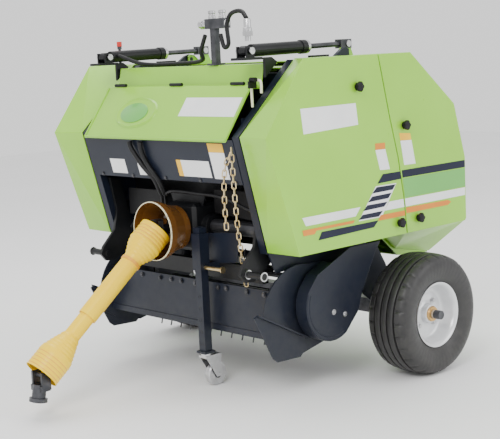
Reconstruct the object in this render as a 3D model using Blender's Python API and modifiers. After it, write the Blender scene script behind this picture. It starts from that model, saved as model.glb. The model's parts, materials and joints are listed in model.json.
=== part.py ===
# Small fixed-chamber round baler with a two-point hitch, as separate solid pieces.
# Metres, +Z up. The machine's front looks along -Y, its left side is +X, the floor is z = 0.
# All sizes below are written from the wheel axle: y = 0 on the axle, x = 0 on the centre plane.
# SHIFT_Y then puts the whole machine so that its origin is under the middle of its box.
import math
import bpy
import bmesh
from mathutils import Matrix, Vector

for ob in list(bpy.data.objects):
    bpy.data.objects.remove(ob, do_unlink=True)

SHIFT_Y = 0.4206

# ------------------------------------------------------------------ driving sizes
GAP = 0.0003            # between pieces that touch
X_FACE = 0.545          # outer face of the side covers
X_COVER_IN = 0.408      # inner edge of the side covers
X_PLATE = 0.4040        # outer face of the frame side plates
PLATE_T = 0.0060
SHEET_T = 0.0030
Z_COVER_BOTTOM = 0.4755
Z_COVER_TOP = 1.0740

WHEEL_R = 0.2035
WHEEL_X = 0.574
TYRE_W = 0.164
AXLE_Z = WHEEL_R

CHAMBER_Y, CHAMBER_Z = -0.085, 0.715
ROLLER_RING = 0.280
ROLLER_R = 0.042

GATE_PIVOT = (0.0, -0.145, 1.082)
CYL_X = 0.360
CYL_BASE = (-0.560, 1.104)          # y, z of the barrel's pin
CYL_EYE = (-0.100, 1.112)           # y, z of the rod's eye

REEL = (-0.360, 0.270)              # y, z of the pickup reel's axis
REEL_TIP = 0.160
PICKUP_PIVOT = (-0.160, 0.300)      # y, z
JACK = (0.125, -0.583)              # x, y

UJ = (0.0, -0.665, 0.530)           # universal joint at the gearbox end
UJ_END = (-0.045, -1.120, 0.135)    # universal joint at the free end
BELL_MOUTH_Y = -0.680

# seam between a front cover and a rear cover, top to bottom: (y, z)
SEAM = [(-0.1545, 1.0740), (-0.1060, 0.8710), (-0.0690, 0.7350), (-0.0450, 0.6000), (-0.0330, 0.4755)]
SEAM_GAP = 0.0055


# ------------------------------------------------------------------ materials
def material(name, rgb, rough, metal=0.0):
    m = bpy.data.materials.new(name)
    m.use_nodes = True
    b = m.node_tree.nodes["Principled BSDF"]
    b.inputs["Base Color"].default_value = (*rgb, 1.0)
    b.inputs["Roughness"].default_value = rough
    b.inputs["Metallic"].default_value = metal
    m.diffuse_color = (*rgb, 1.0)
    return m


MAT = {
    "green_paint": material("green_paint", (0.40, 0.66, 0.16), 0.35),
    "dark_paint": material("dark_paint", (0.045, 0.055, 0.080), 0.42),
    "black_paint": material("black_paint", (0.012, 0.012, 0.014), 0.45),
    "yellow_plastic": material("yellow_plastic", (0.93, 0.75, 0.06), 0.45),
    "brown_plastic": material("brown_plastic", (0.18, 0.07, 0.02), 0.30),
    "bare_steel": material("bare_steel", (0.55, 0.55, 0.56), 0.30, 0.9),
    "dark_steel": material("dark_steel", (0.10, 0.10, 0.11), 0.40, 0.8),
    "gold_zinc": material("gold_zinc", (0.70, 0.52, 0.24), 0.32, 0.9),
    "tyre_rubber": material("tyre_rubber", (0.015, 0.015, 0.016), 0.55),
    "silver_rim": material("silver_rim", (0.62, 0.63, 0.65), 0.30, 0.6),
    "hose_rubber": material("hose_rubber", (0.012, 0.012, 0.012), 0.50),
}

COLL = bpy.data.collections.new("round_baler")
bpy.context.scene.collection.children.link(COLL)
TMP = bpy.data.collections.new("cutters")
bpy.context.scene.collection.children.link(TMP)

# ------------------------------------------------------------------ bodies (empties on the joint axes)
ORIGIN = bpy.data.objects.new("baler_origin", None)
ORIGIN.location = (0.0, SHIFT_Y, 0.0)
COLL.objects.link(ORIGIN)
BODY = {"frame": (ORIGIN, Vector((0, 0, 0)))}


def body(name, pos, parent="frame"):
    e = bpy.data.objects.new(name + "_axis", None)
    COLL.objects.link(e)
    pe, pp = BODY[parent]
    e.parent = pe
    e.location = Vector(pos) - pp
    BODY[name] = (e, Vector(pos))


# ------------------------------------------------------------------ shape helpers
def mesh_object(me, name="shape"):
    ob = bpy.data.objects.new(name, me)
    TMP.objects.link(ob)
    ob.hide_render = True
    ob.display_type = "WIRE"
    return ob


def outward(bm):
    bmesh.ops.recalc_face_normals(bm, faces=bm.faces[:])
    if bm.calc_volume(signed=True) < 0:
        bmesh.ops.reverse_faces(bm, faces=bm.faces[:])


def from_bmesh(bm):
    bmesh.ops.remove_doubles(bm, verts=bm.verts[:], dist=1e-6)
    outward(bm)
    me = bpy.data.meshes.new("shape")
    bm.to_mesh(me)
    bm.free()
    return mesh_object(me)


def box(lo, hi, turn=None, bevel=0.0):
    lo, hi = Vector(lo), Vector(hi)
    bm = bmesh.new()
    bmesh.ops.create_cube(bm, size=1.0)
    s = hi - lo
    bmesh.ops.transform(bm, matrix=Matrix.Diagonal((s.x, s.y, s.z, 1.0)), verts=bm.verts[:])
    if bevel:
        bmesh.ops.bevel(bm, geom=bm.edges[:], offset=bevel, segments=1, profile=0.5, affect='EDGES')
    if turn is not None:
        bmesh.ops.transform(bm, matrix=turn.to_4x4(), verts=bm.verts[:])
    bmesh.ops.transform(bm, matrix=Matrix.Translation((lo + hi) / 2), verts=bm.verts[:])
    return from_bmesh(bm)


def rod(p0, p1, r, seg=16, r2=None):
    p0, p1 = Vector(p0), Vector(p1)
    bm = bmesh.new()
    bmesh.ops.create_cone(bm, cap_ends=True, cap_tris=False, segments=seg, radius1=r,
                          radius2=r if r2 is None else r2, depth=(p1 - p0).length)
    q = Vector((0, 0, 1)).rotation_difference((p1 - p0).normalized())
    bmesh.ops.transform(bm, matrix=Matrix.Translation((p0 + p1) / 2) @ q.to_matrix().to_4x4(), verts=bm.verts[:])
    return from_bmesh(bm)


def from_curve(cu, world):
    ob = bpy.data.objects.new("outline", cu)
    TMP.objects.link(ob)
    ob.matrix_world = world
    bpy.context.view_layer.update()
    deps = bpy.context.evaluated_depsgraph_get()
    me = bpy.data.meshes.new_from_object(ob.evaluated_get(deps))
    me.transform(world)
    bpy.data.objects.remove(ob, do_unlink=True)
    bm = bmesh.new()
    bm.from_mesh(me)
    bmesh.ops.remove_doubles(bm, verts=bm.verts[:], dist=2e-5)
    outward(bm)
    bm.to_mesh(me)
    bm.free()
    return mesh_object(me)


# local x, y, z of an outline go to these world directions
ALONG = {
    "x": Matrix(((0, 0, 1, 0), (1, 0, 0, 0), (0, 1, 0, 0), (0, 0, 0, 1))),     # outline (y, z), thickness along x
    "y": Matrix(((1, 0, 0, 0), (0, 0, -1, 0), (0, 1, 0, 0), (0, 0, 0, 1))),    # outline (x, z), thickness along y
    "z": Matrix(((1, 0, 0, 0), (0, 1, 0, 0), (0, 0, 1, 0), (0, 0, 0, 1))),     # outline (x, y), thickness along z
}


def plate(outline, a, b, along="x", holes=()):
    """A flat outline, extruded from a to b along one axis. holes: (u, v, r)."""
    cu = bpy.data.curves.new("outline", "CURVE")
    cu.dimensions = "2D"
    cu.fill_mode = "BOTH"
    cu.extrude = abs(b - a) / 2
    cu.resolution_u = 1
    cu.render_resolution_u = 0
    rings = [outline]
    for u, v, r in holes:
        rings.append([(u + r * math.cos(k * math.tau / 16), v + r * math.sin(k * math.tau / 16)) for k in range(16)])
    for ring in rings:
        sp = cu.splines.new("POLY")
        sp.points.add(len(ring) - 1)
        for p, (u, v) in zip(sp.points, ring):
            p.co = (u, v, 0, 1)
        sp.use_cyclic_u = True
    mid = (a + b) / 2
    shift = {"x": (mid, 0, 0), "y": (0, mid, 0), "z": (0, 0, mid)}[along]
    return from_curve(cu, Matrix.Translation(shift) @ ALONG[along])


def arc(cx, cy, r, a0, a1, n):
    """Points on an arc, degrees."""
    return [(cx + r * math.cos(math.radians(a0 + (a1 - a0) * k / n)),
             cy + r * math.sin(math.radians(a0 + (a1 - a0) * k / n))) for k in range(n + 1)]


def ribbon(path, t):
    """Outline of a bent sheet: the path on one side, the path moved by t to its left on the other."""
    off = []
    n = len(path)
    for i, (u, v) in enumerate(path):
        d0 = Vector(path[i]) - Vector(path[i - 1]) if i else Vector(path[1]) - Vector(path[0])
        d1 = Vector(path[i + 1]) - Vector(path[i]) if i < n - 1 else d0
        d0, d1 = d0.normalized(), d1.normalized()
        n0, n1 = Vector((-d0.y, d0.x)), Vector((-d1.y, d1.x))
        m = (n0 + n1).normalized()
        k = t / max(0.4, m.dot(n0))
        off.append((u + m.x * k, v + m.y * k))
    return list(path) + off[::-1]


def pipe(points, r, sides=2):
    """A round bar or hose along points."""
    cu = bpy.data.curves.new("pipe", "CURVE")
    cu.dimensions = "3D"
    cu.bevel_depth = r
    cu.bevel_resolution = sides
    cu.use_fill_caps = True
    cu.resolution_u = 1
    cu.render_resolution_u = 0
    sp = cu.splines.new("POLY")
    sp.points.add(len(points) - 1)
    for p, c in zip(sp.points, points):
        p.co = (*c, 1)
    return from_curve(cu, Matrix.Identity(4))


def smooth_path(pts, per=8):
    """Points on a smooth curve through pts."""
    P = [Vector(p) for p in pts]
    P = [2 * P[0] - P[1]] + P + [2 * P[-1] - P[-2]]
    out = []
    for i in range(1, len(P) - 2):
        a, b, c, d = P[i - 1], P[i], P[i + 1], P[i + 2]
        for k in range(per):
            t = k / per
            out.append(0.5 * ((2 * b) + (c - a) * t + (2 * a - 5 * b + 4 * c - d) * t * t
                              + (3 * b - a - 3 * c + d) * t ** 3))
    out.append(P[-2])
    return [tuple(v) for v in out]


def turned(profile, seg=32, closed=False):
    """A profile (radius, height) turned about Z with a Screw modifier."""
    me = bpy.data.meshes.new("profile")
    vs = [(r, 0.0, h) for r, h in profile]
    es = [(i, i + 1) for i in range(len(vs) - 1)]
    if closed:
        es.append((len(vs) - 1, 0))
    me.from_pydata(vs, es, [])
    ob = mesh_object(me)
    sc = ob.modifiers.new("turn", "SCREW")
    sc.angle = math.tau
    sc.steps = sc.render_steps = seg
    sc.use_merge_vertices = True
    sc.merge_threshold = 0.00002
    sc.use_smooth_shade = False
    bpy.context.view_layer.update()
    deps = bpy.context.evaluated_depsgraph_get()
    out = bpy.data.meshes.new_from_object(ob.evaluated_get(deps))
    bpy.data.objects.remove(ob, do_unlink=True)
    bm = bmesh.new()
    bm.from_mesh(out)
    bmesh.ops.remove_doubles(bm, verts=bm.verts[:], dist=2e-5)
    outward(bm)
    bm.to_mesh(out)
    bm.free()
    return mesh_object(out)


def place(ob, at, axis=(0, 0, 1)):
    q = Vector((0, 0, 1)).rotation_difference(Vector(axis).normalized())
    ob.data.transform(Matrix.Translation(at) @ q.to_matrix().to_4x4())
    return ob


def move(ob, mat):
    ob.data.transform(mat)
    if mat.determinant() < 0:
        ob.data.flip_normals()
    return ob


MIRROR_X = Matrix.Diagonal((-1, 1, 1, 1))


def loft(rings):
    """Closed solid through rings of the same number of points."""
    bm = bmesh.new()
    vs = [[bm.verts.new(p) for p in ring] for ring in rings]
    n = len(rings[0])
    for a, b in zip(vs[:-1], vs[1:]):
        for i in range(n):
            j = (i + 1) % n
            bm.faces.new((a[i], a[j], b[j]))
            bm.faces.new((a[i], b[j], b[i]))
    bm.faces.new(vs[0][::-1])
    bm.faces.new(vs[-1])
    bmesh.ops.triangulate(bm, faces=bm.faces[:])
    return from_bmesh(bm)


def combine(adds, cuts=()):
    """One solid: the first shape with the others joined, then the cutters taken away."""
    base = adds[0]
    rest = [(o, "UNION") for o in adds[1:]] + [(o, "DIFFERENCE") for o in cuts]
    if not rest:
        return base
    for o, op in rest:
        m = base.modifiers.new("op", "BOOLEAN")
        m.operation = op
        m.object = o
        m.solver = "EXACT"
    bpy.context.view_layer.update()
    deps = bpy.context.evaluated_depsgraph_get()
    me = bpy.data.meshes.new_from_object(base.evaluated_get(deps))
    for o, _ in rest:
        bpy.data.objects.remove(o, do_unlink=True)
    bpy.data.objects.remove(base, do_unlink=True)
    bm = bmesh.new()
    bm.from_mesh(me)
    bmesh.ops.remove_doubles(bm, verts=bm.verts[:], dist=1e-6)
    bm.to_mesh(me)
    bm.free()
    return mesh_object(me)


def node(name, shape, mat, owner="frame", smooth=False):
    """The finished sub-part, its origin on its body's axis."""
    emp, pos = BODY[owner]
    shape.name = name
    shape.data.name = name
    shape.data.transform(Matrix.Translation(-pos))
    shape.data.materials.clear()
    shape.data.materials.append(MAT[mat])
    TMP.objects.unlink(shape)
    COLL.objects.link(shape)
    shape.hide_render = False
    shape.display_type = "TEXTURED"
    shape.parent = emp
    shape.location = (0, 0, 0)
    if smooth:
        shape.data.shade_smooth()
        shape.data.set_sharp_from_angle(angle=math.radians(35))
    return shape


SIDES = (("left", 1.0), ("right", -1.0))


def sided(s, ob):
    """ob was drawn for the left side (+X); mirrored for the right."""
    return ob if s > 0 else move(ob, MIRROR_X)


# ------------------------------------------------------------------ frame side plates
seam_front = [(y - 0.004, z) for y, z in SEAM]
SIDE_OUTLINE = ([(-0.545, 0.4755), (-0.641, 0.846), (-0.392, 1.068)]
                + [(-0.1785, 1.068)] + [(y - 0.004, z) for y, z in SEAM[1:]]
                + [(-0.040, 0.445), (0.020, 0.350), (0.060, 0.2306), (-0.060, 0.2306), (-0.128, 0.285),
                   (-0.160, 0.272), (-0.186, 0.286), (-0.188, 0.318), (-0.168, 0.395), (-0.330, 0.412), (-0.512, 0.404)])
for side, s in SIDES:
    sheet = plate(SIDE_OUTLINE, X_PLATE - PLATE_T, X_PLATE, holes=[(*PICKUP_PIVOT, 0.0125)])
    # front edge bar: a bent flange that shows between the lid and the side cover
    bar_low = plate([(-0.548, 0.470), (-0.645, 0.846), (-0.617, 0.842), (-0.520, 0.470)], 0.372, X_PLATE - 0.002)
    bar_top = plate([(-0.6450, 0.8460), (-0.3940, 1.0700), (-0.3740, 1.0480), (-0.6170, 0.8320)], 0.374, X_PLATE - 0.002)
    # hinge lug and its pin for the tailgate
    lug = plate([(-0.215, 1.040), (-0.215, 1.062), (-0.165, 1.094), (-0.145, 1.100), (-0.128, 1.094),
                 (-0.128, 1.074), (-0.175, 1.040)], 0.3890, X_PLATE - 0.003)
    pin = rod((0.3760, GATE_PIVOT[1], GATE_PIVOT[2]), (0.3950, GATE_PIVOT[1], GATE_PIVOT[2]), 0.0065, 12)
    shape = combine([sheet, bar_low, bar_top, lug, pin])
    node(f"frame_side_{side}", sided(s, shape), "dark_paint")

# ------------------------------------------------------------------ front panels between the side plates
X_IN = X_PLATE - PLATE_T - 0.0005
X_BAR = 0.3715
lean = [(-0.644, 0.836), (-0.608, 0.694), (-0.590, 0.690), (-0.560, 0.700)]
node("front_panel", plate(ribbon(lean, SHEET_T), -X_BAR, X_BAR), "dark_paint")
node("twine_box", combine(
    [plate(ribbon([(-0.628, 0.842), (-0.560, 0.760), (-0.420, 0.760), (-0.420, 1.030)], -SHEET_T), -X_BAR, X_BAR),
     box((-X_BAR, -0.600, 0.758), (-X_BAR + 0.003, -0.4195, 0.900)),
     box((X_BAR - 0.003, -0.600, 0.758), (X_BAR, -0.4195, 0.900))]), "dark_paint")
node("top_panel", combine(
    [plate(ribbon([(-0.505, 0.985), (-0.490, 1.062), (-0.428, 1.062)], -SHEET_T), -0.366, 0.366)]), "green_paint")
node("chamber_top_sheet", box((-0.3700, -0.4235, 1.0440), (0.3700, -0.2000, 1.0470)), "green_paint")
node("back_sheet", plate(ribbon([(-0.434, 0.750), (-0.436, 0.715), (-0.415, 0.560), (-0.440, 0.470)], -SHEET_T),
                         -X_IN, X_IN), "black_paint")
node("lower_crossbeam", combine(
    [box((-0.3557, -0.528, 0.366), (0.3557, -0.502, 0.418)),
     box((-0.352, -0.512, 0.400), (-0.300, -0.450, 0.412)),
     box((0.300, -0.512, 0.400), (0.352, -0.450, 0.412))]), "black_paint")

# ------------------------------------------------------------------ axle beam with spindles
node("axle_beam", combine(
    [box((-0.470, -0.025, 0.180), (0.470, 0.025, 0.230)),
     rod((-0.655, 0, AXLE_Z), (0.655, 0, AXLE_Z), 0.0150, 20)]), "dark_steel")

# ------------------------------------------------------------------ hitch arms with their pins
HITCH_PIN = (-0.605, 0.412)
ARM = [(-0.575, 0.680), (-0.530, 0.670), (-0.488, 0.500), (-0.500, 0.432), (-0.575, 0.384), (-0.612, 0.386),
       (-0.634, 0.412), (-0.622, 0.438), (-0.568, 0.492), (-0.552, 0.560)]
for side, s in SIDES:
    shape = combine([plate(ARM, 0.3560, 0.3680),
                     rod((0.350, *HITCH_PIN), (0.446, *HITCH_PIN), 0.0110, 16),
                     rod((0.366, *HITCH_PIN), (0.372, *HITCH_PIN), 0.0170, 16),
                     box((0.366, -0.527, 0.510), (X_IN, -0.492, 0.590))])
    node(f"hitch_arm_{side}", sided(s, shape), "black_paint")

# ------------------------------------------------------------------ gearbox, cross shaft, bell
node("gearbox", combine(
    [box((-0.075, -0.560, 0.450), (0.075, -0.4470, 0.610), bevel=0.012),
     rod((0, -0.575, 0.530), (0, -0.550, 0.530), 0.0480, 24),
     rod((0, -0.6400, 0.530), (0, -0.560, 0.530), 0.0175, 16),
     rod((0.070, -0.490, 0.530), (0.100, -0.490, 0.530), 0.0400, 20),
     plate([(-0.090, 0.640), (0.090, 0.640), (0.075, 0.600), (-0.075, 0.600)], -0.520, -0.512, "y")]), "black_paint")
node("cross_shaft", combine(
    [rod((0.1003, -0.490, 0.530), (0.3557, -0.490, 0.530), 0.0240, 18),
     rod((0.338, -0.490, 0.530), (0.3557, -0.490, 0.530), 0.0420, 20)]), "dark_steel")
BELL = [(0.0500, -0.5755), (0.0740, -0.5755), (0.0760, -0.6000), (0.0960, -0.6520), (0.0990, -0.6800),
        (0.0960, -0.6800), (0.0930, -0.6520), (0.0730, -0.6000), (0.0710, -0.5785), (0.0500, -0.5785)]
bell = turned([(r, -h) for r, h in BELL], 32, closed=True)
bell.data.transform(Matrix(((1, 0, 0, 0), (0, 0, -1, 0), (0, 1, 0, 0.530), (0, 0, 0, 1))))
node("driveline_bell", bell, "brown_plastic", smooth=True)

# ------------------------------------------------------------------ driveline
body("driveline_swing", UJ)
body("driveline_rear", UJ, "driveline_swing")
axis = (Vector(UJ_END) - Vector(UJ)).normalized()
LENGTH = (Vector(UJ_END) - Vector(UJ)).length
side_v = Vector((0, 0, 1)).cross(axis).normalized()
body("driveline_front", UJ, "driveline_rear")
body("driveline_yoke", UJ_END, "driveline_front")


def on_shaft(profile, seg=24, at=UJ, direction=axis):
    return place(turned(profile, seg, closed=True), at, direction)


node("driveline_cross", combine(
    [rod(Vector(UJ) - Vector((0.030, 0, 0)), Vector(UJ) + Vector((0.030, 0, 0)), 0.0080, 12),
     rod(Vector(UJ) - Vector((0, 0, 0.030)), Vector(UJ) + Vector((0, 0, 0.030)), 0.0080, 12),
     rod(Vector(UJ) - Vector((0, 0, 0.012)), Vector(UJ) + Vector((0, 0, 0.012)), 0.0150, 12)]),
    "dark_steel", "driveline_swing")
# guard cone and outer tube: (radius, distance along the shaft)
REAR_GUARD = [(0.0540, 0.0000), (0.0570, 0.0000), (0.0570, 0.0650), (0.0520, 0.0850), (0.0420, 0.1060),
              (0.0350, 0.1220), (0.0320, 0.1300), (0.0320, 0.3700), (0.0290, 0.3700), (0.0290, 0.1300),
              (0.0290, 0.1100), (0.0390, 0.0950), (0.0490, 0.0780), (0.0540, 0.0620)]
node("driveline_guard_rear", on_shaft(REAR_GUARD), "yellow_plastic", "driveline_rear", smooth=True)
FRONT_GUARD = [(0.0230, 0.2300), (0.0270, 0.2300), (0.0270, 0.4480), (0.0320, 0.4560), (0.0420, 0.4800),
               (0.0560, 0.5200), (0.0590, 0.5400), (0.0590, LENGTH - 0.0020), (0.0560, LENGTH - 0.0020),
               (0.0560, 0.5420), (0.0530, 0.5230), (0.0390, 0.4850), (0.0290, 0.4620), (0.0230, 0.4540)]
node("driveline_guard_front", on_shaft(FRONT_GUARD), "yellow_plastic", "driveline_front", smooth=True)
node("driveline_shaft_front", combine(
    [rod(Vector(UJ) + axis * 0.2500, Vector(UJ) + axis * (LENGTH - 0.050), 0.0200, 12),
     rod(Vector(UJ) + axis * (LENGTH - 0.090), Vector(UJ) + axis * (LENGTH - 0.042), 0.0260, 16),
     ]), "dark_steel", "driveline_front")
yo = Vector(UJ_END)
down = Vector((0, -0.20, -0.98)).normalized()
node("driveline_yoke", combine(
    [rod(yo + down * 0.030, yo + down * 0.086, 0.0220, 18),
     rod(yo + down * 0.072, yo + down * 0.084, 0.0290, 18),
     box(yo + Vector((-0.030, -0.016, -0.045)), yo + Vector((-0.021, 0.016, 0.012))),
     box(yo + Vector((0.021, -0.016, -0.045)), yo + Vector((0.030, 0.016, 0.012))),
     box(yo + Vector((-0.030, -0.020, -0.048)), yo + Vector((0.030, 0.012, -0.030))),
     rod(yo - Vector((0.029, 0, 0)), yo + Vector((0.029, 0, 0)), 0.0075, 12)]),
    "dark_steel", "driveline_yoke")

# ------------------------------------------------------------------ coupler post, gauge
POST = (0.135, -0.480)
node("coupler_post", combine(
    [box((POST[0] - 0.011, POST[1] - 0.011, 1.0655), (POST[0] + 0.011, POST[1] + 0.011, 1.190)),
     box((POST[0] - 0.022, POST[1] - 0.020, 1.0625), (POST[0] + 0.022, POST[1] + 0.020, 1.0685)),
     box((POST[0] - 0.030, POST[1] - 0.016, 1.180), (POST[0] + 0.060, POST[1] + 0.016, 1.212)),
     rod((POST[0] - 0.010, POST[1], 1.205), (POST[0] - 0.010, POST[1], 1.238), 0.010, 12),
     rod((POST[0] + 0.040, POST[1], 1.205), (POST[0] + 0.040, POST[1], 1.238), 0.010, 12)]), "dark_steel")
node("bale_gauge", combine(
    [box((-0.398, -0.478, 1.0705), (-0.384, -0.462, 1.0765)),
     rod((-0.391, -0.470, 1.073), (-0.391, -0.470, 1.140), 0.0050, 10),
     rod((-0.391, -0.470, 1.130), (-0.391, -0.470, 1.152), 0.0080, 10)]), "dark_steel")

# ------------------------------------------------------------------ twine box lid
body("twine_lid", (0.0, -0.545, 1.004))
LID_PATH = [(-0.668, 0.832), (-0.545, 0.998), (-0.518, 1.000)]
lid = plate(ribbon(LID_PATH, -0.004), -0.366, 0.366)
node("twine_lid", combine([lid]), "green_paint", "twine_lid")

# ------------------------------------------------------------------ side covers
def ring(points, x):
    return [(x, y, z) for y, z in points]


def inset(points, t):
    """The outline moved inwards by t, with mitred corners."""
    area = sum(a[0] * b[1] - b[0] * a[1] for a, b in zip(points, points[1:] + points[:1]))
    s = 1.0 if area > 0 else -1.0
    out = []
    for i, p in enumerate(points):
        a, p, b = Vector(points[i - 1]), Vector(p), Vector(points[(i + 1) % len(points)])
        u, v = (p - a).normalized(), (b - p).normalized()
        nu, nv = Vector((-u.y, u.x)) * s, Vector((-v.y, v.x)) * s
        m = (nu + nv) / max(1e-6, 1.0 + nu.dot(nv))
        q = p + m * t
        out.append((q.x, q.y))
    return out


def pan(sections, t=SHEET_T):
    """A pressed cover, open on the side of its first section. sections: (x, outline) from inside to outside."""
    outer = [ring(o, x) for x, o in sections]
    inner = [ring(inset(o, t * 1.25), x) for x, o in sections]
    inner[-1] = ring(inset(sections[-1][1], t * 1.25), sections[-1][0] - t)
    bm = bmesh.new()
    out = [[bm.verts.new(p) for p in r] for r in outer]
    inn = [[bm.verts.new(p) for p in r] for r in inner]
    n = len(outer[0])
    for a, b in list(zip(out[:-1], out[1:])) + list(zip(inn[:-1], inn[1:])) + [(out[0], inn[0])]:
        for i in range(n):
            j = (i + 1) % n
            bm.faces.new((a[i], a[j], b[j]))
            bm.faces.new((a[i], b[j], b[i]))
    bm.faces.new(out[-1])
    bm.faces.new(inn[-1])
    bmesh.ops.triangulate(bm, faces=bm.faces[:])
    return from_bmesh(bm)


seam_f = [(y, z) for y, z in SEAM]
FRONT_FACE = [(-0.546, 0.4755), (-0.669, 0.846), (-0.497, 1.074)] + seam_f
FRONT_BACK = [(-0.5500, 0.4755), (-0.6460, 0.846), (-0.394, 1.074)] + seam_f
seam_r = [(y + SEAM_GAP, z) for y, z in SEAM]
REAR_FACE = seam_r + [(-0.018, 0.4755), (0.290, 0.4755), (0.2975, 0.4830), (0.2975, 0.7025), (0.241, 0.891), (0.012, 1.074)]
REAR_MID = seam_r + [(-0.015, 0.4720), (0.315, 0.4720), (0.3240, 0.4830), (0.3140, 0.7025), (0.248, 0.893), (0.014, 1.074)]
REAR_BACK = seam_r + [(0.0680, 0.3960), (0.255, 0.3600), (0.3200, 0.4830), (0.3140, 0.7025), (0.248, 0.893), (0.014, 1.074)]
COVER_HINGE_F = ((X_COVER_IN, -0.5500, 0.4755), (X_COVER_IN, -0.6460, 0.846))
COVER_HINGE_R = (X_COVER_IN, 0.3200, 0.600)
for side, s in SIDES:
    body(f"side_cover_{side}", (s * X_COVER_IN, -0.5500, 0.4755))
    node(f"side_cover_{side}", sided(s, pan([(X_COVER_IN, FRONT_BACK), (X_FACE, FRONT_FACE)])),
         "green_paint", f"side_cover_{side}")

# ------------------------------------------------------------------ tailgate
body("tailgate", GATE_PIVOT)
GATE_TOP_Y = -0.140
GATE_PATH = [(GATE_TOP_Y, 1.062), (0.010, 1.062), (0.236, 0.886), (0.2970, 0.702), (0.2970, 0.483),
             (0.250, 0.3570), (0.085, 0.3700)]
gate_sheet = plate(ribbon(GATE_PATH, -SHEET_T), -X_PLATE, X_PLATE)
gs = [(y + SEAM_GAP - 0.004, z) for y, z in SEAM[1:]]
GATE_SIDE = ([(GATE_TOP_Y, 1.061)] + gs + [(0.0850, 0.3705), (0.2490, 0.3585), (0.2960, 0.484), (0.2960, 0.7015),
             (0.235, 0.885), (0.009, 1.061)])
gate_parts = [gate_sheet]
for s in (1, -1):
    a, b = (X_PLATE - PLATE_T, X_PLATE)
    gate_parts.append(sided(s, plate(GATE_SIDE, a, b)))
    # hinge arm around the frame's pin, and the lug for the cylinder rod
    arm = plate([(-0.135, 1.050), (-0.158, 1.074), (-0.158, 1.092), (-0.148, 1.099), (-0.130, 1.096), (-0.100, 1.072),
                 (-0.040, 1.061), (-0.040, 1.050)], 0.3785, 0.3835, holes=[(GATE_PIVOT[1], GATE_PIVOT[2], 0.0070)])
    gate_parts.append(sided(s, arm))
    gate_parts.append(sided(s, box((0.3787, -0.115, 1.050), (0.402, -0.050, 1.0635))))
    lug = plate([(-0.118, 1.060), (-0.112, 1.120), (-0.100, 1.126), (-0.088, 1.120), (-0.060, 1.060)],
                CYL_X - 0.0040, CYL_X + 0.0040)
    gate_parts.append(sided(s, lug))
gate_parts.append(box((-0.360, 0.296, 0.560), (0.360, 0.312, 0.590)))
node("tailgate", combine(gate_parts), "green_paint", "tailgate")
for side, s in SIDES:
    body(f"rear_cover_{side}", (s * X_COVER_IN, 0.3200, 0.600), "tailgate")
    node(f"rear_cover_{side}", sided(s, pan([(X_COVER_IN, REAR_BACK), (0.525, REAR_MID), (X_FACE, REAR_FACE)])),
         "green_paint", f"rear_cover_{side}")

# ------------------------------------------------------------------ chamber rollers: (name, owner, angle in degrees)
ROLLERS = [("front_roller_1", "frame", 108), ("front_roller_2", "frame", 144), ("front_roller_3", "frame", 180),
           ("front_roller_4", "frame", 216), ("front_roller_5", "frame", 252),
           ("rear_roller_1", "tailgate", 72), ("rear_roller_2", "tailgate", 39), ("rear_roller_3", "tailgate", 6),
           ("rear_roller_4", "tailgate", -27), ("rear_roller_5", "tailgate", -60)]
for name, owner, deg in ROLLERS:
    y = CHAMBER_Y + ROLLER_RING * math.cos(math.radians(deg))
    z = CHAMBER_Z + ROLLER_RING * math.sin(math.radians(deg))
    body(name, (0, y, z), owner)
    node(name, rod((-0.3960, y, z), (0.3960, y, z), ROLLER_R, 20), "dark_steel", name)

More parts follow.
